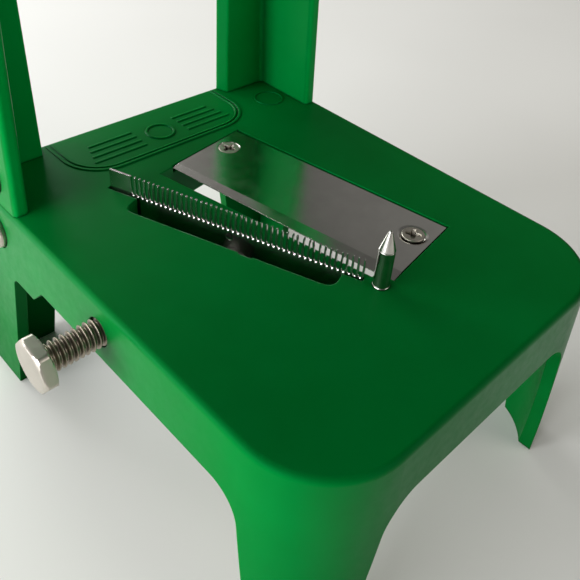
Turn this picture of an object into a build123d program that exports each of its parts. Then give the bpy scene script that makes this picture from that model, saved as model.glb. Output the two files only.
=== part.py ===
from build123d import *
import math
import os

# Vertical turning slicer for vegetables: a four-legged table with a flush
# blade plate, an upright comb strip and a centre pin, two L-section posts at
# the back, and a hand-cranked spiked disc on a carriage that slides on them.
# Frame: origin at floor level under the middle of the overall footprint, +X
# right, +Y back, +Z up. The spin axis of pin and disc is at y = -ORIGIN_Y: the
# model is laid out from that axis and shifted as each piece is written.
# All lengths in millimetres, angles in degrees.

ORIGIN_Y = 30.9       # from the spin axis back to the footprint's middle
SIDES = (-1, 1)       # left, right

# ---- base moulding -------------------------------------------------------
TABLE_Z = 61.0        # table top above the floor
HALF_W = 47.8         # half width of the table top
Y_FRONT = -30.2       # front edge of the table top
Y_BACK = 92.2         # back edge of the table top
CORNER_R = 19.0       # front corner radius
DRAFT = 3.0           # outward draft of the front and side skirts
WALL = 3.0            # skirt and leg wall
TABLE_T = 3.2         # table thickness
BACK_WALL = 3.2       # thickness of the back wall
EDGE_R = 1.4          # rounding of the table's outer edge
SKIRT_SIDE = 15.0     # depth of the side skirts
SKIRT_DEEP = 19.6     # depth of the side skirts over the post sockets
SKIRT_FRONT = 12.9    # depth of the front skirt
BOSS_TOP = TABLE_Z - 1.0   # bosses and ribs run this far up into the table

# ---- comb, blade and pin -------------------------------------------------
COMB_ANGLE = 20.2     # comb line, left of +Y
COMB_T = 0.55         # strip thickness
COMB_FACE = 0.30      # strip's left face, from the comb line
COMB_UP = 5.2         # height of the teeth above the table
COMB_DOWN = 14.0      # depth of the strip below the table
COMB_PITCH = 1.29     # tooth pitch
COMB_START = 4.4      # first gullet, from the pin
COMB_TEETH = 46       # number of gullets
COMB_END = 69.4       # far end of the plain tab
COMB_TRAVEL = 5.6     # how far the comb drops below the table
WELL_W = 6.0          # width of the well beside the comb
TROUGH_DEPTH = COMB_DOWN + COMB_TRAVEL + 1.2
BLADE_C = (10.2, 33.4)
BLADE_ANGLE = 9.2     # blade plate's long axis, left of +Y
BLADE_L = 65.2
BLADE_W = 24.5
BLADE_T = 1.5
BLADE_SCREWS = ((28.4, 4.4), (-28.0, 4.4))   # along the blade, off its axis
INSERT_Z = TABLE_Z - 9.4   # underside of the blade screw inserts
PIN_R = 1.8
PIN_CYL = 9.7         # height of the pin's plain part above the table
PIN_TIP = 14.4        # height of the pin's point above the table

# ---- clamp bolt ----------------------------------------------------------
BOLT_Y = 32.8
BOLT_Z = TABLE_Z - 8.0
BOLT_R = 3.175
BOLT_SKIRT_X = 48.2   # distance of the skirt's face from the middle, at the bolt
BOLT_OUT = 11.7       # thread showing outside the skirt
PAD_R = 3.45
PAD_BACK = -24.0      # x of the pad's back face
HEAD_AF = 11.1        # hexagon head across flats
HEAD_T = 3.1
HEAD_TURN = 10.0      # first corner, from +Y towards +Z

# ---- posts and bridge ----------------------------------------------------
POST_H = 190.0        # posts above the table
POST_TOP = TABLE_Z + POST_H
POST_LEAN = 2.0       # inward lean of the flanges
POST_OUT = 47.3       # outer face of the flange at the table
FLANGE_T = 3.6
FLANGE_Y = 67.2       # front edge of the flange
WEB_Y0 = 87.2         # front face of the web
WEB_Y1 = 91.5         # back face of the web
WEB_X = 28.6          # inner edge of the web at its back, the carriage's rail
WEB_SLANT = 1.3       # the web's front edge lies this much further out
SOCKET_DEPTH = 14.6
POST_SCREW_Y = 77.0
POST_SCREW_Z = TABLE_Z - 8.2
POST_HOLE_R = 2.1
FLANGE_SCREW_Z = TABLE_Z + 7.2
BRIDGE_SCREW_YS = (71.0, 82.0)
BRIDGE_SCREW_Z = POST_TOP - 6.0

# ---- carriage and crank --------------------------------------------------
SPIKE_L = 7.0         # length of the spikes below the disc
DISC_Z = TABLE_Z + 120.0 + SPIKE_L
DISC_T = 6.0
DISC_R = 33.0
HUB_Z0 = DISC_Z + DISC_T + 5.0
HUB_Z1 = HUB_Z0 + 38.0
HUB_R = 17.0
GRIP_Z = (HUB_Z0 + HUB_Z1) / 2 + 3.0
GRIP_BORE_R = 3.66
GUIDE_Y0 = 83.4       # front and back of the carriage plate and its shoes
GUIDE_Y1 = 94.8
GUIDE_Z0 = HUB_Z0 - 4.0
GUIDE_Z1 = HUB_Z1 + 2.0
SHOE_SCREW_Y = 85.3
SHOE_SCREW_ZS = (GUIDE_Z0 + 9.0, GUIDE_Z1 - 9.0)
SHAFT_R = 4.0
BUSH_R = 6.0
BUSH_L = 12.0
BUSH_FLANGE_T = 1.5
SPIKE_R = 1.25
SPIKE_RINGS = ((12.0, 6, 0), (24.0, 9, 12))   # radius, count, first angle
CRANK_R = 52.0        # crank throw
CRANK_T = 7.0
CRANK_Z = HUB_Z1 + 7.0
CRANK_TOP = CRANK_Z + CRANK_T
KNOB_R = 10.5
KNOB_H = 36.0
KNOB_Z = CRANK_TOP + 1.2
KNOB_PIN_R = 2.6
KNOB_BORE_R = 2.66

TALL = 400.0          # top of cutters that run right through


# ======================= helpers ===========================================
def at(x, y, z):
    return Location((x, y, z))


def outline(points):
    return make_face(Polyline(*points, close=True))


def box(x0, x1, y0, y1, z0, z1):
    centre = at((x0 + x1) / 2, (y0 + y1) / 2, (z0 + z1) / 2)
    return centre * Box(abs(x1 - x0), abs(y1 - y0), abs(z1 - z0))


def cyl_z(x, y, z0, z1, radius):
    return at(x, y, (z0 + z1) / 2) * Cylinder(radius, abs(z1 - z0))


def cyl_x(y, z, x0, x1, radius):
    return Location(((x0 + x1) / 2, y, z), (0, 90, 0)) * Cylinder(radius, abs(x1 - x0))


def ring_z(x, y, z0, z1, outer_r, inner_r):
    return cyl_z(x, y, z0, z1, outer_r) - cyl_z(x, y, z0 - 1, z1 + 1, inner_r)


def rounded_prism(points, radii, plane, z0, z1):
    # each radius rounds the corner at the point of the same index
    face = outline(points)
    for point, radius in zip(points, radii):
        if radius:
            near = [
                v for v in face.vertices()
                if math.hypot(v.X - point[0], v.Y - point[1]) < 0.01
            ]
            face = fillet(near, radius).faces()[0]
    face = face.moved(plane.location * at(0, 0, z0))
    return extrude(face, amount=z1 - z0, dir=plane.z_dir)


def prism(points, plane, z0, z1):
    return rounded_prism(points, [0] * len(points), plane, z0, z1)


def revolve_z(points):
    # points are (radius, z)
    return revolve(outline([(r, 0, z) for r, z in points]), Axis.Z, 360)


def hex_prism(across_flats, height):
    hexagon = RegularPolygon(radius=across_flats / 2, side_count=6, major_radius=False)
    return extrude(hexagon, amount=height)


def save(name, *shapes):
    shift = at(0, -ORIGIN_Y, 0)
    solids = [solid.moved(shift) for shape in shapes for solid in shape.solids()]
    piece = solids[0] if len(solids) == 1 else Compound(children=solids)
    piece.label = name
    export_step(piece, "parts/" + name + ".step")


# ======================= working planes ====================================
DRAFT_SLOPE = math.tan(math.radians(DRAFT))
LEAN_SLOPE = math.tan(math.radians(POST_LEAN))
comb_cos, comb_sin = math.cos(math.radians(COMB_ANGLE)), math.sin(math.radians(COMB_ANGLE))
blade_cos, blade_sin = math.cos(math.radians(BLADE_ANGLE)), math.sin(math.radians(BLADE_ANGLE))

# Comb: local x away from the pin; flat plane has y into the well, the
# upright one has y up and z away from the well
COMB_DIR = Vector(-comb_sin, comb_cos, 0)
COMB_FLAT = Plane(origin=(0, 0, TABLE_Z), x_dir=COMB_DIR, z_dir=(0, 0, 1))
COMB_UPRIGHT = Plane(
    origin=(0, 0, TABLE_Z), x_dir=COMB_DIR, z_dir=Vector(comb_cos, comb_sin, 0)
)
# Blade: local x away from the pin, y towards the comb
BLADE_PLANE = Plane(
    origin=(*BLADE_C, TABLE_Z), x_dir=(-blade_sin, blade_cos, 0), z_dir=(0, 0, 1)
)
ON_COMB, ON_BLADE = COMB_FLAT.location, BLADE_PLANE.location
SIDE_PLANE = Plane(origin=(0, 0, TABLE_Z), x_dir=(0, 1, 0), z_dir=(1, 0, 0))
FRONT_PLANE = Plane(origin=(0, 0, TABLE_Z), x_dir=(1, 0, 0), z_dir=(0, -1, 0))

# blade screw centres (x, y); offsets run away from the comb
BLADE_SCREW_XY = [
    (
        BLADE_C[0] - blade_sin * along + blade_cos * across,
        BLADE_C[1] + blade_cos * along + blade_sin * across,
    )
    for along, across in BLADE_SCREWS
]


def flange_outer(z):
    # distance of the leaning flange's outer face from the middle
    return POST_OUT - LEAN_SLOPE * (z - TABLE_Z)


# ======================= base table ========================================
# (y, height from the table top, corner radius): opening between the legs
SIDE_OPENING = [
    (-18.4, -TABLE_Z - 1, 0),
    (-10.6, -SKIRT_SIDE, 8.0),
    (57.2, -SKIRT_SIDE, 2.6),
    (61.6, -SKIRT_DEEP, 1.2),
    (71.4, -SKIRT_DEEP, 2.6),
    (77.8, -TABLE_Z - 1, 0),
]
TROUGH_X = (1.4, 72.4)       # comb trough, along the comb
SLOT_X = (3.8, 69.8)         # slot the comb slides in
SLOT_Y = (-0.30, 0.95)
WELL_X = (8.4, 61.4)
THROAT_X = (-28.6, 32.4)     # throat below the cutting edge, along the blade
PANEL_Y1 = Y_BACK - EDGE_R - 0.1
PANEL_Z0 = TABLE_Z - 0.2     # raised marks start inside the table


def skirt_envelope(inset, z_top, y_back):
    # outer or inner envelope from the floor up, drafted on front and sides
    def section(z):
        grow = DRAFT_SLOPE * (TABLE_Z - z) - inset
        half = HALF_W + grow
        y_front = Y_FRONT - grow
        face = outline([(-half, y_back), (-half, y_front), (half, y_front), (half, y_back)])
        face = fillet([v for v in face.vertices() if v.Y < 0], CORNER_R + grow)
        return face.moved(at(0, 0, z))

    return loft([section(0.0), section(z_top)], ruled=True)


def leg_opening(half_top, half_foot, depth, radius, z0, z1):
    points = [
        (-half_foot, -TABLE_Z - 1), (-half_top, -depth),
        (half_top, -depth), (half_foot, -TABLE_Z - 1),
    ]
    return rounded_prism(points, [0, radius, radius, 0], FRONT_PLANE, z0, z1)


def table_shell():
    outer = skirt_envelope(0.0, TABLE_Z, Y_BACK)
    top_edges = [e for e in outer.edges() if abs(e.center().Z - TABLE_Z) < 0.01]
    outer = fillet(top_edges, EDGE_R)
    shell = outer - skirt_envelope(WALL, TABLE_Z - TABLE_T, Y_BACK - BACK_WALL)
    side_points = [(y, z) for y, z, _ in SIDE_OPENING]
    side_radii = [radius for _, _, radius in SIDE_OPENING]
    shell = shell - rounded_prism(side_points, side_radii, SIDE_PLANE, -80, 80)
    shell = shell - leg_opening(30.2, 39.5, SKIRT_FRONT, 9.0, 8, 60)
    return shell - leg_opening(27.5, 34.6, SKIRT_SIDE, 6.0, -120, -70)


def hung_boss(x0, x1, radius):
    # horizontal boss round the bolt line, joined up to the table
    y0, y1 = BOLT_Y - radius, BOLT_Y + radius
    return cyl_x(BOLT_Y, BOLT_Z, x0, x1, radius) + box(x0, x1, y0, y1, BOLT_Z, BOSS_TOP)


def underside():
    # trough, throat frame, bosses, post sockets and cross ribs, in fusing order
    trough = ON_COMB * box(*TROUGH_X, -3.0, WELL_W + 2.0, -TROUGH_DEPTH - 2.0, -1.0)
    frame = ON_BLADE * box(-31.0, 34.8, -15.0, 19.4, -11.0, -1.0)
    frame = frame - ON_BLADE * box(*THROAT_X, -12.9, 17.0, -12.0, -TABLE_T)
    pieces = [trough, frame, cyl_z(0, 0, TABLE_Z - 9.0, BOSS_TOP, 4.6)]
    for x, y in BLADE_SCREW_XY:
        pieces.append(cyl_z(x, y, TABLE_Z - 11.0, TABLE_Z - 1.6, 4.4))
    pieces.append(hung_boss(-46.5, -37.5, 7.0))
    pieces.append(hung_boss(-26.5, -15.0, 6.2))
    for side in SIDES:
        socket_z = TABLE_Z - SKIRT_DEEP + 0.6
        pieces.append(box(side * 47.0, side * 40.6, 62.6, 90.0, socket_z, BOSS_TOP))
    for y in (-14.0, 78.0):
        pieces.append(box(-44.6, 44.6, y - 1.1, y + 1.1, TABLE_Z - 9.0, BOSS_TOP))
    return pieces


def comb_and_blade_openings():
    slot = ON_COMB * box(*SLOT_X, *SLOT_Y, -TROUGH_DEPTH, 5)
    x0, x1 = WELL_X
    well = rounded_prism(
        [(x0, SLOT_Y[0]), (x1, SLOT_Y[0]), (x1, WELL_W), (x0, WELL_W)],
        [0, 0, 2.4, 2.4],
        COMB_FLAT,
        -TROUGH_DEPTH,
        5,
    )
    # small notch in the well's rim over the pad's bore
    notch = ON_COMB * box(27.4, 31.0, WELL_W - 0.2, WELL_W + 0.4, -6.0, 5)
    half_l, half_w = BLADE_L / 2 + 0.3, BLADE_W / 2
    pocket = ON_BLADE * box(-half_l, half_l, -half_w - 1.0, half_w + 0.2, -BLADE_T - 0.1, 5)
    x0, x1 = THROAT_X
    throat = prism([(x1, 3.6), (x1, 16.96), (x0, 14.5), (x0, 3.6)], BLADE_PLANE, -14, 5)
    return [slot, well, notch, pocket, throat]


def table_holes():
    holes = [
        cyl_z(0, 0, 0, 100, PIN_R),
        # room for the pin's nut, opening into the end of the trough
        cyl_z(0, 0, 20, TABLE_Z - 9.02, 3.9),
    ]
    for x, y in BLADE_SCREW_XY:
        holes.append(cyl_z(x, y, INSERT_Z, 100, 2.4))
    # clamp bolt, its insert and the pad
    holes.append(cyl_x(BOLT_Y, BOLT_Z, -60, -37, BOLT_R + 0.2))
    holes.append(cyl_x(BOLT_Y, BOLT_Z, -45.6, -37, 4.75))
    holes.append(cyl_x(BOLT_Y, BOLT_Z, -30, -12.2, PAD_R + 0.06))
    for side in SIDES:
        holes.append(
            box(side * 46.75, side * 44.05, 68.3, WEB_Y1 - 3.1, TABLE_Z - SOCKET_DEPTH, TABLE_Z + 5)
        )
        # screw hole, nut recess, and spot face on the drafted skirt
        for x0, x1, radius in ((60, 36, POST_HOLE_R), (42.6, 36, 4.2), (60, 48.1, 4.9)):
            holes.append(cyl_x(POST_SCREW_Y, POST_SCREW_Z, side * x0, side * x1, radius))
    return holes


def border(half_w, y_front, corner_r, width):
    # raised line open at the back
    def face(inset):
        half = half_w - inset
        front = y_front + inset
        flat = outline([(-half, PANEL_Y1), (-half, front), (half, front), (half, PANEL_Y1)])
        corners = [v for v in flat.vertices() if v.Y < front + 0.1]
        return fillet(corners, max(corner_r - inset, 0.5))

    return extrude((face(0) - face(width)).moved(at(0, 0, PANEL_Z0)), amount=0.5)


def raised_panel():
    # double border, ring and plain ribs on the table's back edge
    panel = border(27.6, 71.0, 11.0, 0.7)
    panel = panel + border(26.3, 72.3, 9.7, 0.5)
    panel = panel + ring_z(0.5, 79.8, PANEL_Z0, TABLE_Z + 0.3, 4.0, 3.4)
    for k in range(4):
        y = 76.4 + 2.5 * k
        x_end = 21.5 - 0.8 * k
        for x0, x1 in ((-x_end, -6.2), (7.2, x_end)):
            panel = panel + box(x0, x1, y - 0.35, y + 0.35, PANEL_Z0, TABLE_Z + 0.22)
    return panel


def base_table():
    table = table_shell()
    for piece in underside():
        table = table + piece
    for cutter in comb_and_blade_openings() + table_holes():
        table = table - cutter
    table = table + raised_panel()
    # small ring to the right of the panel
    return table + ring_z(37.6, 77.0, PANEL_Z0, TABLE_Z + 0.25, 4.4, 3.9)


# ======================= posts =============================================
def post(side):
    def section(z):
        outer = flange_outer(z)
        inner = outer - FLANGE_T
        face = outline([
            (side * outer, WEB_Y1),
            (side * WEB_X, WEB_Y1),
            (side * (WEB_X + WEB_SLANT), WEB_Y0),
            (side * inner, WEB_Y0),
            (side * inner, FLANGE_Y),
            (side * outer, FLANGE_Y),
        ])
        return face.moved(at(0, 0, z))

    def fillet_long(body, radius, wanted):
        # rounds the full-height edges whose centre passes the test
        edges = [
            e for e in body.edges() if e.length > POST_H * 0.9 and wanted(e.center())
        ]
        return fillet(edges, radius)

    body = loft([section(TABLE_Z + 0.02), section(POST_TOP)], ruled=True)
    body = fillet_long(body, 1.2, lambda c: abs(c.Y - FLANGE_Y) < 0.05)
    # inner corner of the L, then the web's free edge
    body = fillet_long(body, 1.2, lambda c: abs(c.Y - WEB_Y0) < 0.05 and abs(c.X) > 35)
    body = fillet_long(body, 0.7, lambda c: abs(c.X) < WEB_X + WEB_SLANT + 0.05)
    tongue_z = TABLE_Z - SOCKET_DEPTH + 0.3
    body = body + box(side * 46.7, side * 44.5, 68.4, 88.0, tongue_z, TABLE_Z + 1.0)
    # y, z, inner end and radius: tongue hole, then flange and bridge screw
    # holes, each with its spot face
    holes = [
        (POST_SCREW_Y, POST_SCREW_Z, 30, POST_HOLE_R),
        (POST_SCREW_Y, FLANGE_SCREW_Z, 45.3, 1.5),
        (POST_SCREW_Y, FLANGE_SCREW_Z, 46.8, 5.2),
    ]
    for y in BRIDGE_SCREW_YS:
        holes.append((y, BRIDGE_SCREW_Z, 30, 1.75))
        holes.append((y, BRIDGE_SCREW_Z, flange_outer(BRIDGE_SCREW_Z) - 0.35, 3.5))
    for y, z, x_end, radius in holes:
        body = body - cyl_x(y, z, side * 60, side * x_end, radius)
    return body


# ======================= bridge ============================================
BRIDGE_Z0 = POST_TOP + 0.02
BRIDGE_Z1 = POST_TOP + 7.0


def top_bridge():
    half_w = flange_outer(POST_TOP) + 1.6
    bridge = box(-half_w, half_w, FLANGE_Y - 1.8, WEB_Y1 + 2.5, BRIDGE_Z0, BRIDGE_Z1)
    bridge = fillet(bridge.edges().filter_by(Axis.Z), 5.0)
    # wide recess in the front edge
    bridge = bridge - rounded_prism(
        [(-27.0, 55.0), (27.0, 55.0), (24.0, 80.0), (-24.0, 80.0)],
        [0, 0, 7.0, 7.0],
        Plane.XY,
        POST_TOP - 5,
        POST_TOP + 20,
    )
    # plug in the corner of each L, clear of the leaning flange
    plug_x = flange_outer(POST_TOP) - FLANGE_T - 0.12
    for side in SIDES:
        plug = box(
            side * 27.0, side * plug_x,
            FLANGE_Y + 0.8, WEB_Y0 - 1.3,
            POST_TOP - 10.0, BRIDGE_Z0 + 1.0,
        )
        bridge = bridge + fillet(plug.edges().filter_by(Axis.Z), 1.5)
        for y in BRIDGE_SCREW_YS:
            bridge = bridge - cyl_x(y, BRIDGE_SCREW_Z, side * 60, side * 25.0, 1.25)
    # beam joining the two ends under the plate
    bridge = bridge + box(-24.0, 24.0, 81.2, 86.8, POST_TOP - 8.0, POST_TOP + 1.0)
    top_edges = [e for e in bridge.edges() if abs(e.center().Z - BRIDGE_Z1) < 0.01]
    return fillet(top_edges, 1.6)


# ======================= post and bridge screws ============================
def truss_screw(side, x_face, y, z, head_r, head_h, shank_r, length):
    # domed head outside, shank pointing inwards along X
    rim = 0.35 * head_h
    points = [(0, 0), (head_r, 0), (head_r, rim)]
    for k in range(1, 6):
        angle = math.radians(15 * k)
        points.append((head_r * math.cos(angle), rim + (head_h - rim) * math.sin(angle)))
    points.append((0, head_h))
    body = revolve_z(points) + cyl_z(0, 0, -length, 0.2, shank_r)
    half_span, half_slot = head_r * 0.475, head_r * 0.13
    recess = box(-half_span, half_span, -half_slot, half_slot, -1.6, 1.0)
    recess = recess + box(-half_slot, half_slot, -half_span, half_span, -1.6, 1.0)
    body = body - at(0, 0, head_h) * recess
    return Location((side * x_face, y, z), (0, 90 * side, 0)) * body


def upright_screws():
    return [
        truss_screw(side, 48.12, POST_SCREW_Y, POST_SCREW_Z,
                    head_r=4.6, head_h=2.3, shank_r=2.0, length=9.6)
        for side in SIDES
    ]


def upright_nuts():
    nut = hex_prism(7.0, 2.8) - cyl_z(0, 0, -1, 5, 2.05)
    return [
        Location((side * 42.55, POST_SCREW_Y, POST_SCREW_Z), (0, -90 * side, 0)) * nut
        for side in SIDES
    ]


def flange_screws():
    return [
        truss_screw(side, 46.82, POST_SCREW_Y, FLANGE_SCREW_Z,
                    head_r=5.0, head_h=2.4, shank_r=1.47, length=1.4)
        for side in SIDES
    ]


def bridge_screws():
    x_face = flange_outer(BRIDGE_SCREW_Z) - 0.33
    return [
        truss_screw(side, x_face, y, BRIDGE_SCREW_Z,
                    head_r=3.2, head_h=1.9, shank_r=1.22, length=9.5)
        for side in SIDES
        for y in BRIDGE_SCREW_YS
    ]


# ======================= blade =============================================
BEVEL_NEAR = 3.5      # width of the ground bevel at the pin's end
BEVEL_FAR = 1.9       # and at the far end
BEVEL_DROP = 0.45     # depth of the bevel at the cutting edge
UNDER_BEVEL = 1.7     # width of the bevel below

# (radius, z) from the table top: plain cone at the far end, dished seat near
SEAT_PROFILES = (
    [(0, 0.01), (3.0, 0.01), (1.7, -1.29), (0, -1.29)],
    [(0, 0.01), (3.75, 0.01), (3.35, -0.12), (2.95, -0.30), (2.7, -0.62), (1.7, -1.29),
     (0, -1.29)],
)
# (radius, z) of the far and near screws
BLADE_SCREW_PROFILES = (
    [(0, 0), (2.65, 0), (2.75, -0.08), (2.75, -0.12), (1.45, -1.42), (1.45, -8.0), (0, -8.0)],
    [(0, 0), (2.55, 0), (2.75, -0.12), (2.75, -0.5), (1.45, -1.6), (1.45, -8.0), (0, -8.0)],
)
BLADE_SCREW_RISE = (-0.05, 0.30)   # the near one stands proud of its seat
BLADE_SCREW_TURN = (12, 33)        # turn of the recess
# half outline of a recess arm: (half length, half width)
STAR_ARM = ((1.42, 0.28), (0.5, 0.5))
STAR_DEPTH = 1.25


def bevel_cutter(sections):
    # each section: x along the blade, bevel width, z at its root, z at the
    # cutting edge and z clear of the blade
    half_w = BLADE_W / 2
    faces = []
    for x, width, z_root, z_edge, z_out in sections:
        slope = (z_edge - z_root) / width
        faces.append(outline([
            (x, half_w - width, z_root),
            (x, half_w + 1.0, z_root + slope * (width + 1.0)),
            (x, half_w + 1.0, z_out),
            (x, half_w - width, z_out),
        ]))
    return ON_BLADE * loft(faces, ruled=True)


def blade_plate():
    half_l, half_w = BLADE_L / 2, BLADE_W / 2
    corners = [(-half_l, -half_w), (half_l, -half_w), (half_l, half_w), (-half_l, half_w)]
    blade = prism(corners, BLADE_PLANE, -BLADE_T, 0.0)
    # the cutting edge faces the comb: wide shallow bevel on top, short steep
    # one below
    x0, x1 = -half_l - 1, half_l + 1
    blade = blade - bevel_cutter([
        (x0, BEVEL_NEAR, 0.0, -BEVEL_DROP, 2.0),
        (x1, BEVEL_FAR, 0.0, -BEVEL_DROP, 2.0),
    ])
    blade = blade - bevel_cutter([
        (x, UNDER_BEVEL, -BLADE_T, -BEVEL_DROP - 0.2, -BLADE_T - 2.0) for x in (x0, x1)
    ])
    for (x, y), seat in zip(BLADE_SCREW_XY, SEAT_PROFILES):
        blade = blade - cyl_z(x, y, TABLE_Z - 5, TABLE_Z + 5, 1.7)
        blade = blade - at(x, y, TABLE_Z) * revolve_z(seat)
    return blade


def star_recess():
    # cross recess with waisted arms that narrow towards the bottom
    (tip_x, tip_y), (waist_x, waist_y) = STAR_ARM

    def section(scale, z):
        points = [
            (-tip_x, -tip_y), (-waist_x, -waist_y), (waist_x, -waist_y), (tip_x, -tip_y),
            (tip_x, tip_y), (waist_x, waist_y), (-waist_x, waist_y), (-tip_x, tip_y),
        ]
        return outline([(x * scale, y * scale) for x, y in points]).moved(at(0, 0, z))

    arm = loft([section(1.36, 0.02), section(0.84, -STAR_DEPTH)], ruled=True)
    return arm + Location((0, 0, 0), (0, 0, 90)) * arm


def blade_screws():
    screws = []
    for (x, y), profile, rise, turn in zip(
        BLADE_SCREW_XY, BLADE_SCREW_PROFILES, BLADE_SCREW_RISE, BLADE_SCREW_TURN
    ):
        screw = revolve_z(profile) - Location((0, 0, 0), (0, 0, turn)) * star_recess()
        screws.append(at(x, y, TABLE_Z + rise) * screw)
    return screws


def blade_inserts():
    return [ring_z(x, y, INSERT_Z, TABLE_Z - 3.4, 2.38, 1.5) for x, y in BLADE_SCREW_XY]


# ======================= centre pin ========================================
# (radius, z) from the table top
PIN_PROFILE = [
    (0, -13.0), (1.35, -13.0), (1.45, -12.6), (1.45, -9.2),
    (PIN_R - 0.02, -9.0), (PIN_R - 0.02, 0.02),
    (PIN_R + 0.12, 0.02), (PIN_R + 0.12, 0.2),
    (PIN_R, 0.45), (PIN_R, PIN_CYL),
    (0.5, PIN_TIP - 0.35), (0.22, PIN_TIP), (0, PIN_TIP),
]


def centre_pin():
    return at(0, 0, TABLE_Z) * revolve_z(PIN_PROFILE)


def centre_pin_nut():
    return at(0, 0, TABLE_Z - 11.7) * (hex_prism(5.5, 2.4) - cyl_z(0, 0, -1, 5, 1.5))


# ======================= comb ==============================================
GULLET_W = 0.6 * COMB_PITCH
# gullet floor: fraction of its width, height above the table
GULLET_FLOOR = ((0, 0.35), (0.2, 0.08), (0.5, 0.0), (0.8, 0.08), (1, 0.35))


def comb_strip():
    start = COMB_START - 0.45
    points = [(start, -COMB_DOWN), (start, COMB_UP - 0.3), (COMB_START, COMB_UP)]
    for k in range(COMB_TEETH):
        x = COMB_START + COMB_PITCH * k
        points += [(x + part * GULLET_W, height) for part, height in GULLET_FLOOR]
        points += [(x + GULLET_W, COMB_UP - 0.45), (x + COMB_PITCH, COMB_UP)]
    points += [(COMB_END, COMB_UP), (COMB_END, -COMB_DOWN)]
    comb = prism(points, COMB_UPRIGHT, -COMB_FACE, COMB_T - COMB_FACE)
    return comb - COMB_UPRIGHT.location * cyl_z(36.5, -1.6, -2, 2, 0.9)


# ======================= clamp =============================================
def clamp_pad():
    # short plunger whose nose is cut to lie flat on the comb's face
    pad = cyl_x(BOLT_Y, BOLT_Z, PAD_BACK, 0.0, PAD_R)
    pad = pad - ON_COMB * box(-40, 90, -40, COMB_FACE + 0.04, -60, 60)
    return pad - cyl_x(BOLT_Y, BOLT_Z, PAD_BACK - 1, PAD_BACK + 3.2, 2.06)


def clamp_bolt():
    head_x = -BOLT_SKIRT_X - BOLT_OUT
    shank = cyl_x(BOLT_Y, BOLT_Z, head_x, PAD_BACK - 0.05, BOLT_R)
    spigot = cyl_x(BOLT_Y, BOLT_Z, PAD_BACK - 0.1, PAD_BACK + 3.0, 2.0)
    corner_r = HEAD_AF / 2 / math.cos(math.radians(30))
    head = hex_prism(HEAD_AF, HEAD_T) & revolve_z([
        (0, 0), (corner_r - 0.9, 0), (corner_r, 0.45),
        (corner_r, HEAD_T - 0.75), (corner_r - 1.3, HEAD_T), (0, HEAD_T),
    ])
    # the hexagon's first corner lands on -Z: turn it to its place
    turn = Location((0, 0, 0), (0, 0, 90.0 - HEAD_TURN))
    head = Location((head_x, BOLT_Y, BOLT_Z), (0, -90, 0)) * turn * head
    return head + shank + spigot


def clamp_insert():
    insert = cyl_x(BOLT_Y, BOLT_Z, -45.5, -37.2, 4.72)
    return insert - cyl_x(BOLT_Y, BOLT_Z, -50, -30, BOLT_R + 0.06)


# ======================= carriage ==========================================
ARM_Y0, ARM_Y1 = 8.0, 85.5        # front and back of the arm's tapered flanges
ARM_HALF0, ARM_HALF1 = 9.0, 17.0  # their half widths there
PLATE_HALF_W = 24.3

# (radius, distance from the grip's inner end)
GRIP_PROFILE = [
    (GRIP_BORE_R, 0), (7.2, 0), (8.2, 2.0), (7.4, 9.0), (8.4, 20.0), (8.0, 27.0),
    (6.0, 30.5), (0, 31.5), (0, 30.0), (GRIP_BORE_R, 30.0),
]


def carriage_frame():
    plate = box(-PLATE_HALF_W, PLATE_HALF_W, GUIDE_Y0, GUIDE_Y1, GUIDE_Z0, GUIDE_Z1)
    frame = fillet(plate.edges().filter_by(Axis.X), 1.5)
    frame = frame + box(-3.0, 3.0, 10.0, 86.0, HUB_Z0 + 1.0, HUB_Z1 - 3.0)
    flange = [
        (-ARM_HALF0, ARM_Y0), (ARM_HALF0, ARM_Y0), (ARM_HALF1, ARM_Y1), (-ARM_HALF1, ARM_Y1)
    ]
    frame = frame + prism(flange, Plane.XY, HUB_Z1 - 5.5, HUB_Z1 - 2.0)
    frame = frame + prism(flange, Plane.XY, HUB_Z0, HUB_Z0 + 3.5)
    frame = frame + cyl_z(0, 0, HUB_Z0, HUB_Z1, HUB_R)
    # cross ribs, just inside the flanges' taper
    taper = (ARM_HALF1 - ARM_HALF0) / (ARM_Y1 - ARM_Y0)
    for y in (34.0, 58.0):
        half = ARM_HALF0 + taper * (y - ARM_Y0) - 0.6
        frame = frame + box(-half, half, y - 1.2, y + 1.2, HUB_Z0 + 1, HUB_Z1 - 3)
    # side wings the hands press on, with the tangs of the grips
    for side in SIDES:
        wing = rounded_prism(
            [(side * 10, -10.5), (side * 44, -8.5), (side * 44, 8.5), (side * 10, 10.5)],
            [0, 3.0, 3.0, 0],
            Plane.XY,
            GRIP_Z - 4.0,
            GRIP_Z + 4.0,
        )
        frame = frame + wing + cyl_x(0, GRIP_Z, side * 42, side * 74, 3.6)
    frame = frame - cyl_z(0, 0, HUB_Z0 - 1, HUB_Z1 + 1, BUSH_R + 0.02)
    for z in SHOE_SCREW_ZS:
        for side in SIDES:
            frame = frame - cyl_x(SHOE_SCREW_Y, z, side * 25, side * 12, 1.25)
    return frame


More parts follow.
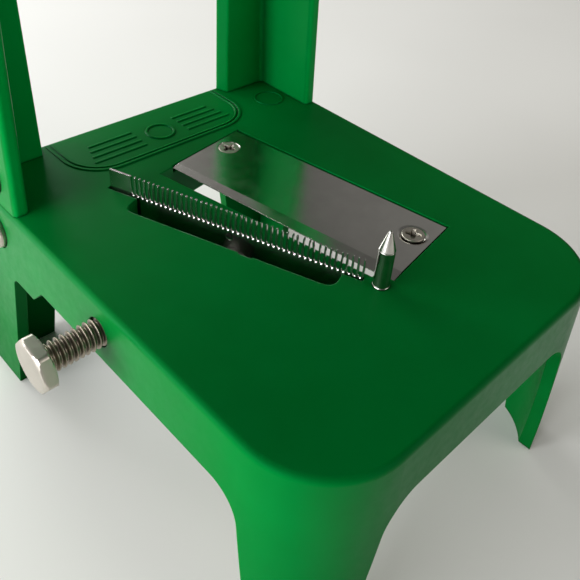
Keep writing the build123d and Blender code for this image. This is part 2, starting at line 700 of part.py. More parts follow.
def guide_shoe(side):
    z0, z1 = GUIDE_Z0 + 0.5, GUIDE_Z1 - 0.5
    shoe = box(side * (PLATE_HALF_W + 0.05), side * 31.9, GUIDE_Y0, GUIDE_Y1, z0, z1)
    shoe = fillet(shoe.edges().filter_by(Axis.X), 1.5)
    # groove round the web's inner edge
    back_x = WEB_X - 0.15
    y0, y1 = WEB_Y0 - 0.1, WEB_Y1 + 0.1
    groove = [
        (side * back_x, y1), (side * 40, y1), (side * 40, y0), (side * (back_x + WEB_SLANT), y0)
    ]
    shoe = shoe - prism(groove, Plane.XY, 0, TALL)
    for z in SHOE_SCREW_ZS:
        shoe = shoe - cyl_x(SHOE_SCREW_Y, z, side * 40, side * 20, 1.25)
        shoe = shoe - cyl_x(SHOE_SCREW_Y, z, side * 40, side * 30.0, 1.75)
    return shoe


def shoe_screw(side, z):
    # shank, head and the neck that joins them
    shank, head, neck = [
        cyl_x(SHOE_SCREW_Y, z, side * x0, side * x1, radius)
        for x0, x1, radius in ((29.95, 16, 1.22), (30.02, 31.4, 1.7), (29.9, 30.1, 1.22))
    ]
    return shank + head + neck


def press_grip(side):
    return Location((side * 44.3, 0, GRIP_Z), (0, 90 * side, 0)) * revolve_z(GRIP_PROFILE)


def hub_bush(hub_end, inward):
    # inward is +1 where the bush points up into the hub, -1 where down
    seat = hub_end - inward * 0.02
    bush = cyl_z(0, 0, seat, hub_end + inward * BUSH_L, BUSH_R)
    bush = bush + cyl_z(0, 0, seat, seat - inward * BUSH_FLANGE_T, 9.0)
    return bush - cyl_z(0, 0, 0, TALL, SHAFT_R + 0.05)


# ======================= shaft and disc ====================================
DRIVE_R = 3.4         # shaft's squared end in the crank: round, then flats
DRIVE_HALF_X = 3.0
DRIVE_HALF_Y = 2.6
FLAT_Y = 3.3          # flat near the shaft's lower end that drives the disc

# (radius, height above the disc's underside)
DISC_PROFILE = [
    (0, 0), (DISC_R - 1.5, 0), (DISC_R, 1.5), (DISC_R, 3.0), (DISC_R - 1.0, 4.0),
    (11.0, 4.0), (10.0, DISC_T), (0, DISC_T),
]
DISC_COUNTERSINK = [(0, -0.5), (4.7, -0.5), (4.7, 0.3), (2.3, 1.78), (0, 1.78)]
SPIKE_PROFILE = [
    (0, 3.0), (SPIKE_R, 3.0), (SPIKE_R, -1.5), (0.12, -SPIKE_L), (0, -SPIKE_L)
]
DISC_SCREW_PROFILE = [(0, 0.0), (4.3, 0.0), (4.3, 0.1), (2.05, 1.5), (2.05, 10.0), (0, 10.0)]

SPIKE_XY = []
for ring_r, count, first in SPIKE_RINGS:
    for k in range(count):
        spike_angle = math.radians(first + 360.0 * k / count)
        SPIKE_XY.append((ring_r * math.cos(spike_angle), ring_r * math.sin(spike_angle)))


def drive_shaft():
    shaft = cyl_z(0, 0, DISC_Z + 1.8, CRANK_Z - 0.1, SHAFT_R)
    drive = cyl_z(0, 0, CRANK_Z - 0.2, CRANK_TOP, DRIVE_R) & box(
        -DRIVE_HALF_X, DRIVE_HALF_X, -DRIVE_HALF_Y, DRIVE_HALF_Y, CRANK_Z - 1, CRANK_Z + 20
    )
    stud = cyl_z(0, 0, CRANK_TOP - 0.1, CRANK_TOP + 7.5, 2.5)
    shaft = shaft + drive + stud
    shaft = shaft - cyl_z(0, 0, DISC_Z - 1, DISC_Z + 12.0, 2.1)
    return shaft - box(-6, 6, FLAT_Y, 8, DISC_Z, DISC_Z + DISC_T + 0.05)


def spike_disc():
    disc = at(0, 0, DISC_Z) * revolve_z(DISC_PROFILE)
    # bore with a flat to match the shaft's
    disc = disc - (
        cyl_z(0, 0, DISC_Z + 1.75, DISC_Z + 20, SHAFT_R + 0.03)
        - box(-6, 6, FLAT_Y + 0.03, 8, DISC_Z, DISC_Z + DISC_T + 0.04)
    )
    disc = disc - cyl_z(0, 0, DISC_Z - 1, DISC_Z + 5, 2.15)
    disc = disc - at(0, 0, DISC_Z) * revolve_z(DISC_COUNTERSINK)
    for x, y in SPIKE_XY:
        disc = disc - cyl_z(x, y, DISC_Z - 1, DISC_Z + 3.02, SPIKE_R + 0.02)
    return disc


def disc_spikes():
    return [at(x, y, DISC_Z) * revolve_z(SPIKE_PROFILE) for x, y in SPIKE_XY]


def disc_screw():
    slots = box(-2.2, 2.2, -0.5, 0.5, -1.0, 1.0) + box(-0.5, 0.5, -2.2, 2.2, -1.0, 1.0)
    return at(0, 0, DISC_Z + 0.15) * (revolve_z(DISC_SCREW_PROFILE) - slots)


def thrust_washer():
    return ring_z(0, 0, DISC_Z + DISC_T + 0.1, HUB_Z0 - 1.62, 9.5, SHAFT_R + 0.05)


def shaft_collar():
    collar = ring_z(0, 0, HUB_Z1 + 1.65, CRANK_Z - 0.15, 7.0, SHAFT_R + 0.02)
    rims = [e for e in collar.edges() if e.geom_type == GeomType.CIRCLE and e.radius > 6]
    return chamfer(rims, 0.5)


# ======================= crank and knob ====================================
# (radius, height above the knob's lower end)
KNOB_PROFILE = [
    (0, 0.0), (7.4, 0.0), (8.2, 1.2), (7.6, 6.0), (8.2, 14.0), (9.8, 22.0),
    (KNOB_R, 28.0), (KNOB_R - 0.6, 32.0), (KNOB_R - 3.2, 35.2),
    (KNOB_R - 5.2, 35.2), (KNOB_R - 5.2, 30.9), (0, 30.9),
]
KNOB_PIN_HEAD = [(0, 0), (5.2, 0), (5.2, 1.0), (4.2, 2.2), (2.0, 2.9), (0, 3.0)]
NUT_DOME = [(0, 0), (3.9, 0), (3.9, 4.0), (3.6, 5.6), (2.8, 7.0), (1.5, 8.0), (0, 8.3)]


def crank_arm():
    def section(half_hub, half_knob, z):
        x0, x1 = 8.0, CRANK_R - 4
        points = [(x0, -half_hub), (x0, half_hub), (x1, half_knob), (x1, -half_knob)]
        return outline(points).moved(at(0, 0, z))

    def boss(x, radius):
        half_profile = [(0, 0), (radius - 1.0, 0), (radius - 0.3, 0.3), (radius, 1.0)]
        upper = [(r, CRANK_T - z) for r, z in reversed(half_profile)]
        return at(x, 0, CRANK_Z) * revolve_z(half_profile + upper)

    z0, z1 = CRANK_Z - 1, CRANK_TOP + 1
    arm = loft([section(9.0, 7.0, CRANK_Z + 0.6), section(8.2, 6.2, CRANK_TOP - 0.6)], ruled=True)
    arm = arm + boss(0, 12.0) + boss(CRANK_R, 9.5)
    half_x, half_y = DRIVE_HALF_X + 0.05, DRIVE_HALF_Y + 0.05
    arm = arm - (
        cyl_z(0, 0, z0, z1, DRIVE_R + 0.05) & box(-half_x, half_x, -half_y, half_y, 0, TALL)
    )
    arm = arm - cyl_z(CRANK_R, 0, z0, z1, 3.0)
    # lightening recess on the top of the arm
    return arm - rounded_prism(
        [(16, -4.6), (CRANK_R - 13, -3.8), (CRANK_R - 13, 3.8), (16, 4.6)],
        [2, 2, 2, 2],
        Plane.XY,
        CRANK_TOP - 2.2,
        CRANK_TOP + 3,
    )


def crank_washer():
    return ring_z(0, 0, CRANK_TOP + 0.02, CRANK_TOP + 1.2, 6.5, 2.6)


def crank_nut():
    nut = hex_prism(8.0, 4.0) + revolve_z(NUT_DOME) - cyl_z(0, 0, -1, 6.6, 2.52)
    return at(0, 0, CRANK_TOP + 1.24) * nut


def knob_pin():
    head_z = KNOB_Z + KNOB_H - 5.0
    pin = cyl_z(CRANK_R, 0, CRANK_Z + 0.3, CRANK_TOP, 2.98)
    pin = pin + cyl_z(CRANK_R, 0, CRANK_TOP - 0.05, head_z, KNOB_PIN_R)
    return pin + at(CRANK_R, 0, head_z) * revolve_z(KNOB_PIN_HEAD)


def knob_washer():
    return ring_z(CRANK_R, 0, CRANK_TOP + 0.05, KNOB_Z - 0.1, 7.0, KNOB_BORE_R)


def crank_knob():
    knob = at(CRANK_R, 0, KNOB_Z) * revolve_z(KNOB_PROFILE)
    return knob - cyl_z(CRANK_R, 0, KNOB_Z - 1, KNOB_Z + 40, KNOB_BORE_R)


# ======================= write the pieces ==================================
os.makedirs("parts", exist_ok=True)

save("left_upright", post(-1))
save("right_upright", post(1))
save("guide_shoes", *[guide_shoe(side) for side in SIDES])
save("shoe_screws", *[shoe_screw(side, z) for side in SIDES for z in SHOE_SCREW_ZS])
save("press_grips", *[press_grip(side) for side in SIDES])
save("hub_bush_lower", hub_bush(HUB_Z0, 1))
save("hub_bush_upper", hub_bush(HUB_Z1, -1))

# pieces of one solid, each named after its function
for build in (
    base_table, top_bridge, blade_plate, centre_pin, centre_pin_nut, comb_strip,
    clamp_pad, clamp_bolt, clamp_insert, carriage_frame, drive_shaft, spike_disc,
    disc_screw, thrust_washer, shaft_collar, crank_arm, crank_washer, crank_nut,
    knob_pin, knob_washer, crank_knob,
):
    save(build.__name__, build())

# sets of like solids
for build in (
    upright_screws, upright_nuts, flange_screws, bridge_screws, blade_screws,
    blade_inserts, disc_spikes,
):
    save(build.__name__, *build())
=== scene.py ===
# A hand-cranked machine standing upright on the floor at z = 0, with +Z up.
# A green table carries the blade, comb strip, centre pin and clamp bolt. Above it a carriage
# with two grips holds the spiked disc and its crank. Pin, disc and crank share one upright
# spin axis at x = 0, y = AXIS_Y. Shapes are given in millimetres; materials and stage in metres.
import math
import bpy
import bmesh
from mathutils import Matrix, Vector


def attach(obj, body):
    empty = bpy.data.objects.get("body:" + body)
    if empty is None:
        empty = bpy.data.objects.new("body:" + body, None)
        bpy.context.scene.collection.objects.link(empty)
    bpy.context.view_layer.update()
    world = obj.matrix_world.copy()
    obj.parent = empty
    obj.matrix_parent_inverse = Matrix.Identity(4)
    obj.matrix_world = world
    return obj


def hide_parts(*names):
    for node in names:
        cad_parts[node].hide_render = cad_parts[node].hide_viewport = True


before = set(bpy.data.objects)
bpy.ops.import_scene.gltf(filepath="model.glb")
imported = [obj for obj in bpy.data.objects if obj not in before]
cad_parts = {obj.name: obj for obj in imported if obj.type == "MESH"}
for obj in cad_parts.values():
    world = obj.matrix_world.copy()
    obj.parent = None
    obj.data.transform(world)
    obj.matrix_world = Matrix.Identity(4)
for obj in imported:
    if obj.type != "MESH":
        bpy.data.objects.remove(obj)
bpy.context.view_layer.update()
scene = bpy.context.scene

# Millimetres and degrees
AXIS_Y = -30.9          # y of the spin axis
TOP_Z = 61.0            # height that the pin and comb are measured from
COMB_ANGLE = 20.2       # the comb strip runs out from the axis, turned from +Y toward -X


# ---------------------------------------------------------------- shader graph
class Graph:
    """Node tree of a material or world, with its main shader."""

    def __init__(self, owner, shader):
        owner.use_nodes = True
        self.tree = owner.node_tree
        self.shader = self.tree.nodes[shader]

    def feed(self, socket, value):
        """Link a socket to the input, or set the input's value."""
        if isinstance(value, bpy.types.NodeSocket):
            self.tree.links.new(value, socket)
        else:
            socket.default_value = value

    def set(self, socket, value):
        self.feed(self.shader.inputs[socket], value)

    def node(self, kind, inputs=None, **settings):
        made = self.tree.nodes.new("ShaderNode" + kind)
        for setting, value in settings.items():
            setattr(made, setting, value)
        for socket, value in (inputs or {}).items():
            self.feed(made.inputs[socket], value)
        return made

    def coords(self, scale=(1, 1, 1), rotation=(0, 0, 0)):
        place = self.node("TexCoord").outputs["Object"]
        mapping = self.node("Mapping", {"Scale": scale, "Rotation": rotation, "Vector": place})
        return mapping.outputs["Vector"]

    def axes(self, vector):
        """X, Y and Z outputs of a vector."""
        return self.node("SeparateXYZ", {"Vector": vector}).outputs

    def noise(self, vector, scale, detail, roughness):
        inputs = {"Scale": scale, "Detail": detail, "Roughness": roughness, "Vector": vector}
        return self.node("TexNoise", inputs).outputs["Fac"]

    def ramp(self, factor, stops):
        made = self.node("ValToRGB", {"Fac": factor})
        elements = made.color_ramp.elements
        while len(elements) < len(stops):
            elements.new(0.5)
        for element, (position, colour) in zip(elements, stops):
            element.position = position
            element.color = (*colour, 1)
        return made.outputs["Color"]

    def remap(self, value, source, target, **settings):
        """Map the source range (from, to) to the target range (from, to)."""
        inputs = {"From Min": source[0], "From Max": source[1],
                  "To Min": target[0], "To Max": target[1], "Value": value}
        return self.node("MapRange", inputs, **settings).outputs["Result"]

    def math(self, operation, first, second):
        return self.node("Math", {0: first, 1: second}, operation=operation).outputs[0]

    def add(self, first, second):
        return self.math("ADD", first, second)

    def multiply(self, first, second):
        return self.math("MULTIPLY", first, second)

    def set_bump(self, height, strength, distance, edge):
        """Surface relief over edges softened by the radius `edge`."""
        bump = self.node("Bump", {"Strength": strength, "Distance": distance, "Height": height})
        bevel = self.node("Bevel", {"Radius": edge}, samples=6)
        self.feed(bump.inputs["Normal"], bevel.outputs["Normal"])
        self.set("Normal", bump.outputs["Normal"])

    def painted_crevice_shade(self, colour, distance, dark):
        """Painted shade: darken recesses and thread roots down to the factor `dark`."""
        occlusion = self.node("AmbientOcclusion", {"Distance": distance}, samples=6)
        factor = self.remap(occlusion.outputs["AO"], source=(0.30, 0.85), target=(dark, 1.0))
        scaled = self.node("VectorMath", {0: colour, "Scale": factor}, operation="SCALE")
        return scaled.outputs["Vector"]


def new_material(name):
    material = bpy.data.materials.new(name)
    return material, Graph(material, "Principled BSDF")


def shade(colour, factor):
    return tuple(channel * factor for channel in colour)


# ---------------------------------------------------------------- materials
def table_painted_light(graph, gain, vector, facing):
    """Painted light on parts of the upward faces and painted shade on the low parts of the table.
    """
    place = graph.axes(vector)
    upward = graph.remap(facing["Z"], source=(0.5, 0.9), target=(0.0, 1.0))
    # Painted light on the upward faces: lighter toward the left back, the right and the back edge
    fade = graph.multiply(
        graph.remap(place["X"], source=(0.005, -0.045), target=(0.0, 0.50)),
        graph.remap(place["Y"], source=(-0.035, 0.015), target=(0.0, 1.0)))
    fade = graph.add(fade, graph.remap(place["X"], source=(0.0, 0.045), target=(-0.10, 0.12)))
    fade = graph.add(fade, graph.remap(place["Y"], source=(0.022, 0.056), target=(0.0, 0.38)))
    gain = graph.multiply(gain, graph.add(graph.multiply(fade, upward), 1.0))
    # Painted shade: darker toward the floor
    low = graph.remap(place["Z"], source=(0.0, 0.048), target=(0.62, 1.0))
    return graph.multiply(gain, low)


def table_gloss(graph):
    """Specular level of the table, varied by place on its -X, -Y and upward faces."""
    base_level, least_level = 0.13, 0.015
    texture = graph.node("TexCoord")
    place = graph.axes(texture.outputs["Object"])
    facing = graph.axes(texture.outputs["Normal"])
    side = graph.remap(facing["X"], source=(-0.35, -0.85), target=(0.0, 1.0))
    front = graph.remap(facing["Y"], source=(-0.35, -0.85), target=(0.0, 1.0))
    low = graph.remap(place["Z"], source=(0.020, 0.052), target=(0.10, 1.0))
    side = graph.multiply(
        graph.remap(place["Y"], source=(-0.040, 0.040), target=(-0.115, 0.20)), side)
    front = graph.multiply(
        graph.remap(place["X"], source=(-0.020, 0.050), target=(0.0, 0.16)), front)
    level = graph.multiply(graph.add(graph.add(side, front), base_level), low)
    upward = graph.remap(facing["Z"], source=(0.6, 0.95), target=(1.0, 0.32))
    return graph.math("MAXIMUM", graph.multiply(level, upward), least_level)


def green_plastic(name, edge, deep, lift, painted_front_gain, table=False):
    """Moulded green plastic with painted light and shade; painted_front_gain scales the colour of
    faces toward -Y, painting light above 1 and shade below 1.
    """
    rough = 0.36
    material, graph = new_material(name)
    vector = graph.coords()
    broad = graph.noise(vector, scale=28.0, detail=3.0, roughness=0.55)
    colour = graph.ramp(broad, [(0.30, deep), (0.72, lift)])

    # Painted light and shade: colour gain by the way a face points, lighter on the sides and darker
    # on top, with painted shade in recesses
    facing = graph.axes(graph.node("TexCoord").outputs["Normal"])
    painted_light_colour = graph.node("VectorMath", operation="SCALE")
    graph.feed(painted_light_colour.inputs[0], graph.painted_crevice_shade(colour, distance=0.0010, dark=0.30))
    gain = graph.remap(facing["Z"], source=(0.25, 0.92), target=(1.25, 0.86))
    front = graph.remap(facing["Y"], source=(-0.35, -0.9), target=(1.0, painted_front_gain))
    gain = graph.multiply(gain, front)
    if table:
        gain = table_painted_light(graph, gain, vector, facing)
    graph.feed(painted_light_colour.inputs["Scale"], gain)
    graph.set("Base Color", painted_light_colour.outputs["Vector"])

    # Roughness and relief from three sizes of grain
    fine = graph.noise(vector, scale=5200.0, detail=2.0, roughness=0.6)
    middle = graph.noise(vector, scale=420.0, detail=3.0, roughness=0.6)
    flow = graph.noise(vector, scale=95.0, detail=2.0, roughness=0.5)
    fine_weight, middle_weight, flow_weight = 0.30, 0.8, 1.2
    uneven = graph.remap(middle, source=(0.3, 0.7), target=(-0.04, 0.05))
    graph.set("Roughness", graph.add(uneven, rough))
    height = graph.add(graph.multiply(fine, fine_weight), graph.multiply(middle, middle_weight))
    height = graph.add(height, graph.multiply(flow, flow_weight))
    graph.set_bump(height, strength=0.20, distance=0.00006, edge=edge)

    graph.set("Specular IOR Level", 0.13)
    graph.set("Specular Tint", (0.0, 0.85, 0.42, 1.0))
    if table:
        graph.set("Specular IOR Level", table_gloss(graph))
    graph.set("Subsurface Weight", 0.16)
    graph.set("Subsurface Radius", (0.02, 1.0, 0.30))
    graph.set("Subsurface Scale", 0.0018)
    return material


def brushed_steel(name, base, rough, grain, turn=0.0, edge=0.00008, lines=9000.0):
    """Steel with long grain lines, turned about Z by `turn` degrees."""
    material, graph = new_material(name)
    graph.set("Metallic", 1.0)
    even = graph.coords()
    broad = graph.noise(even, scale=90.0, detail=4.0, roughness=0.6)
    graph.set("Base Color", graph.ramp(broad, [(0.28, shade(base, 0.86)), (0.70, base)]))
    stretched = graph.coords(scale=(0.012, 1.0, 1.0), rotation=(0, 0, math.radians(turn)))
    streaks = graph.noise(stretched, scale=lines, detail=4.0, roughness=0.62)
    smear = graph.noise(even, scale=260.0, detail=3.0, roughness=0.6)
    graph.set("Roughness", graph.add(
        graph.remap(streaks, source=(0.25, 0.75), target=(-0.04, 0.05)),
        graph.remap(smear, source=(0.3, 0.7), target=(rough - 0.03, rough + 0.04))))
    graph.set_bump(streaks, strength=grain, distance=0.000012, edge=edge)
    return material


def grained(name, tone, stops, grain, rough, bump, painted_crevice_shade=None, extra=None):
    """Surface with a mottled colour and an even grain.

    tone and grain are noise settings, stops the colours, rough the roughness range,
    bump and painted_crevice_shade the settings of those steps, the latter painted shade in
    recesses, extra other shader inputs.
    """
    material, graph = new_material(name)
    vector = graph.coords()
    colour = graph.ramp(graph.noise(vector, **tone), stops)
    if painted_crevice_shade:
        colour = graph.painted_crevice_shade(colour, **painted_crevice_shade)
    graph.set("Base Color", colour)
    height = graph.noise(vector, **grain)
    graph.set("Roughness", graph.remap(height, source=(0.2, 0.8), target=rough))
    graph.set_bump(height, **bump)
    for socket, value in (extra or {}).items():
        graph.set(socket, value)
    return material


def turned_metal(name, base, rough, painted_crevice_shade=None):
    """Turned or rolled metal: fine grain with faint stains, and painted shade in recesses when
    given.
    """
    return grained(
        name, tone=dict(scale=300.0, detail=4.0, roughness=0.65),
        stops=[(0.30, shade(base, 0.70)), (0.55, base), (0.85, shade(base, 1.1))],
        grain=dict(scale=2600.0, detail=4.0, roughness=0.6),
        rough=(rough - 0.06, rough + 0.12),
        bump=dict(strength=0.35, distance=0.00002, edge=0.00008),
        painted_crevice_shade=painted_crevice_shade, extra={"Metallic": 1.0})


def black_rubber(name, base, rough):
    return grained(
        name, tone=dict(scale=60.0, detail=3.0, roughness=0.5),
        stops=[(0.3, base), (0.7, shade(base, 1.9))],
        grain=dict(scale=3800.0, detail=3.0, roughness=0.6),
        rough=(rough - 0.08, rough + 0.12),
        bump=dict(strength=0.35, distance=0.00005, edge=0.0003))


def white_acetal(name):
    return grained(
        name, tone=dict(scale=40.0, detail=3.0, roughness=0.5),
        stops=[(0.3, (0.66, 0.65, 0.60)), (0.7, (0.76, 0.75, 0.70))],
        grain=dict(scale=2400.0, detail=2.0, roughness=0.6),
        rough=(0.32, 0.44),
        bump=dict(strength=0.15, distance=0.00004, edge=0.00025),
        extra={"Subsurface Weight": 0.2, "Subsurface Scale": 0.002})


# A front gain below 1 paints shade on the table's faces toward -Y; above 1 it paints light on the
# posts' faces toward -Y
TABLE_GREEN = green_plastic("table_green", edge=0.0004, deep=(0.0, 0.098, 0.0130),
                            lift=(0.0, 0.124, 0.0190), painted_front_gain=0.80, table=True)
POST_GREEN = green_plastic("post_green", edge=0.0003, deep=(0.0, 0.116, 0.0165),
                           lift=(0.0, 0.146, 0.0240), painted_front_gain=1.65)
BLADE = brushed_steel("blade_ground", base=(0.66, 0.645, 0.60), rough=0.15, grain=0.55,
                      turn=-99.2)
COMB = brushed_steel("comb_strip_steel", base=(0.66, 0.65, 0.62), rough=0.165, grain=0.3,
                     turn=-(90 + COMB_ANGLE), edge=0.00005)
PIN = turned_metal("pin_turned", base=(0.50, 0.49, 0.455), rough=0.14)
# Painted shade darkens the bolt's thread roots
BOLT = turned_metal("bolt_stainless", base=(0.36, 0.305, 0.245), rough=0.36,
                    painted_crevice_shade=dict(distance=0.0009, dark=0.30))
BOLT_HEAD = brushed_steel("bolt_head_brushed", base=(0.60, 0.555, 0.49), rough=0.40,
                          grain=0.7, lines=5200.0)
# Painted shade darkens the cross recesses of the screws and nuts
SCREW = turned_metal("screw_stainless", base=(0.60, 0.555, 0.47), rough=0.34,
                     painted_crevice_shade=dict(distance=0.0011, dark=0.06))
PAD = turned_metal("pad_dark_steel", base=(0.16, 0.155, 0.145), rough=0.42)
SHAFT = turned_metal("shaft_ground", base=(0.60, 0.59, 0.56), rough=0.15)
BRASS = turned_metal("insert_brass", base=(0.62, 0.44, 0.20), rough=0.28)
WHITE = white_acetal("bearing_acetal")
RUBBER = black_rubber("grip_rubber_mat", base=(0.012, 0.012, 0.013), rough=0.55)
KNOB = black_rubber("knob_black", base=(0.010, 0.010, 0.011), rough=0.36)

# Material and the CAD pieces that wear it
FINISHES = (
    (TABLE_GREEN, "base_table"),
    (POST_GREEN, "left_upright right_upright top_bridge carriage_frame spike_disc crank_arm"),
    (BLADE, "blade_plate"),
    (COMB, "comb_strip"),
    (PIN, "centre_pin"),
    (BOLT, "clamp_bolt"),
    (PAD, "clamp_pad"),
    (BRASS, "clamp_insert blade_inserts"),
    (SCREW, "blade_screws upright_screws flange_screws bridge_screws upright_nuts"),
    (SCREW, "centre_pin_nut shoe_screws disc_screw crank_washer crank_nut"),
    (SHAFT, "disc_spikes drive_shaft shaft_collar knob_pin"),
    (WHITE, "guide_shoes hub_bush_lower hub_bush_upper thrust_washer knob_washer"),
    (RUBBER, "press_grips"),
    (KNOB, "crank_knob"),
)
finish_of = {piece: material for material, pieces in FINISHES for piece in pieces.split()}
for piece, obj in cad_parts.items():
    if not obj.material_slots:
        obj.data.materials.append(finish_of[piece])
    for slot in obj.material_slots:
        slot.material = finish_of[piece]


# ---------------------------------------------------------------- mesh helpers
def angles(count):
    return [2 * math.pi * k / count for k in range(count)]


def ring_about_x(x, radii, y, z):
    """Ring around an axis along X, with one radius for each point."""
    return [(x / 1000, (y + radius * math.sin(angle)) / 1000, (z + radius * math.cos(angle)) / 1000)
            for radius, angle in zip(radii, angles(len(radii)))]


def ring_about_z(z, radii, x, y):
    """Ring around an axis along Z, with one radius for each point."""
    return [((x + radius * math.cos(angle)) / 1000, (y + radius * math.sin(angle)) / 1000, z / 1000)
            for radius, angle in zip(radii, angles(len(radii)))]


def skin(name, rings, material, sharp, wrap=False):
    """Closed skin over equal rings, capped at both ends or wrapped from last to first.

    Edges steeper than `sharp` degrees stay hard.
    """
    count, total = len(rings[0]), len(rings)
    verts = [point for ring in rings for point in ring]
    faces = []
    for i in range(total if wrap else total - 1):
        here, there = i * count, (i + 1) % total * count
        for k in range(count):
            after = (k + 1) % count
            faces.append((here + k, here + after, there + after, there + k))
    if not wrap:
        faces.append(tuple(range(count)))
        faces.append(tuple(range((total - 1) * count, total * count)))
    mesh = bpy.data.meshes.new(name)
    mesh.from_pydata(verts, [], faces)
    edit = bmesh.new()
    edit.from_mesh(mesh)
    bmesh.ops.recalc_face_normals(edit, faces=edit.faces)
    edit.to_mesh(mesh)
    edit.free()
    mesh.materials.append(material)
    made = bpy.data.objects.new(name, mesh)
    scene.collection.objects.link(made)
    for face in mesh.polygons:
        face.use_smooth = True
    mesh.set_sharp_from_angle(angle=math.radians(sharp))
    return made


# ---------------------------------------------------------------- clamp bolt
BOLT_Y, BOLT_Z = 1.9, 53.0
HEAD_X, THREAD_END_X = -59.9, -24.05        # underside of the head, inner end of the thread
PITCH, CREST_RADIUS, ROOT_RADIUS = 1.27, 3.16, 2.44
HEX_FLATS, HEX_TURN, HEX_CORNER = 11.1, math.radians(10.0), 6.22   # width, turn, corner radius

# Spigot that turns in the pad: (distance past the thread, radius)
SPIGOT = ((0.0, 1.95), (2.4, 1.95), (2.75, 1.6))

# Head: (height above its underside, inset of the sides, largest radius)
HEAD_PROFILE = (
    (0.0, 0.0, 3.3), (0.0, 0.0, 5.2), (0.06, 0.02, 5.55), (0.30, 0.0, 6.0), (0.5, 0.0, 6.3),
    (1.5, 0.0, 6.35), (2.28, 0.0, 6.35), (2.48, 0.0, 6.18), (2.70, 0.03, 5.90),
    (2.90, 0.10, 5.55), (3.02, 0.25, 5.18), (3.08, 0.5, 4.7), (3.10, 1.4, 3.9), (3.10, 0.0, 2.0),
)


def thread_radius(x, angle):
    phase = (x / PITCH - angle / (2 * math.pi)) % 1.0
    depth = abs(phase - 0.5) * 2.0          # 0 at the crest, 1 at the root
    # Straight flanks, blended with a curve that rounds the crest and root
    flank = min(max((depth - 0.14) / 0.66, 0.0), 1.0)
    flank = flank * flank * (3 - 2 * flank) * 0.35 + flank * 0.65
    return CREST_RADIUS - (CREST_RADIUS - ROOT_RADIUS) * flank


def make_bolt_thread():
    count = 72
    rings = []
    x = HEAD_X - 0.5
    while x <= THREAD_END_X + 1e-6:
        # Run-out beside the head, and a short chamfer at the inner end
        run_out = ROOT_RADIUS + 0.12 + max(0.0, (x - (HEAD_X + 0.9))) * 1.2
        chamfer = ROOT_RADIUS - 0.25 + max(0.0, (THREAD_END_X - x))
        radii = [min(thread_radius(x, angle), run_out, chamfer) for angle in angles(count)]
        rings.append(ring_about_x(x, radii, BOLT_Y, BOLT_Z))
        x += PITCH / 22
    for past, radius in SPIGOT:
        rings.append(ring_about_x(THREAD_END_X + past, [radius] * count, BOLT_Y, BOLT_Z))
    return skin("clamp_bolt_thread", rings, BOLT, sharp=50)


def hexagon_radius(angle, inset, largest):
    from_corner = ((angle - HEX_TURN + math.pi / 6) % (math.pi / 3)) - math.pi / 6
    side = (HEX_FLATS / 2 - inset) / math.cos(math.pi / 6 - abs(from_corner))
    return min(side, HEX_CORNER - inset, largest)


def make_bolt_head():
    """Chamfered hexagon with softened corners, built outward toward -X."""
    rings = []
    for height, inset, largest in HEAD_PROFILE:
        ring = []
        for angle in angles(180):
            radius = hexagon_radius(angle, inset, largest)
            ring.append(((HEAD_X - height) / 1000, (BOLT_Y + radius * math.cos(angle)) / 1000,
                         (BOLT_Z + radius * math.sin(angle)) / 1000))
        rings.append(ring)
    return skin("clamp_bolt_head", rings, BOLT_HEAD, sharp=30)


bolt_thread = make_bolt_thread()
bolt_head = make_bolt_head()
for part in (bolt_thread, bolt_head):
    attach(part, "clamp_bolt")
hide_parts("clamp_bolt")


# ---------------------------------------------------------------- comb strip
COMB_COS, COMB_SIN = math.cos(math.radians(COMB_ANGLE)), math.sin(math.radians(COMB_ANGLE))
GULLETS, TOOTH_PITCH = 46, 1.29
GULLET_WIDTH = 0.6 * TOOTH_PITCH
COMB_START, COMB_END = 4.4, 69.4        # distances from the spin axis
TOOTH_TOP, COMB_BOTTOM = 5.2, -14.0     # heights from TOP_Z
DISHED_FACE, PLAIN_FACE = 0.30, -0.25   # offsets across the strip, positive toward -X
COMB_SHARP = 32

# Teeth bent more than the rest: (lean along the strip, lean across it) at the tip
BENT_TEETH = {3: (-0.24, 0.05), 8: (0.34, 0.06), 9: (-0.20, -0.02),
              11: (0.26, 0.06), 21: (0.22, -0.02), 30: (-0.20, 0.05)}

# Gullet sides from tip to bottom: (height, half width)
GULLET_SIDE = ((TOOTH_TOP, 0.50), (TOOTH_TOP - 0.18, 0.50 - 0.03), (TOOTH_TOP * 0.72, 0.46),
               (TOOTH_TOP * 0.45, 0.41), (1.5, 0.36))
GULLET_ARC = (200, 225, 250, 270, 290, 315, 340)    # degrees round the gullet bottom

# Outlines through the thickness: (drop of the gullet bottom, widening, offset across)
COMB_LAYERS = (
    (0.90, 0.075, DISHED_FACE), (0.62, 0.045, DISHED_FACE - 0.05),
    (0.20, 0.01, DISHED_FACE - 0.15), (0.05, 0.0, DISHED_FACE - 0.27),
    (0.0, 0.0, DISHED_FACE - 0.36), (0.06, 0.02, PLAIN_FACE),
)

# Round punch mark: its place along and up the strip, then (radius, offset from the face)
MARK_ALONG, MARK_UP = 36.5, -1.75
MARK_PROFILE = ((0.95, 0.05), (0.93, -0.03), (0.80, -0.10), (0.55, -0.15), (0.25, -0.17))


def comb_point(along, up, across):
    return ((-COMB_SIN * along - COMB_COS * across) / 1000,
            (COMB_COS * along - COMB_SIN * across + AXIS_Y) / 1000, (TOP_Z + up) / 1000)


def tooth_lean(i):
    slight = (0.075 * math.sin(12.9898 * i + 0.7),
              min(max(0.06 * math.sin(7.233 * i + 1.9), -0.02), 0.06))
    return BENT_TEETH.get(i, slight)


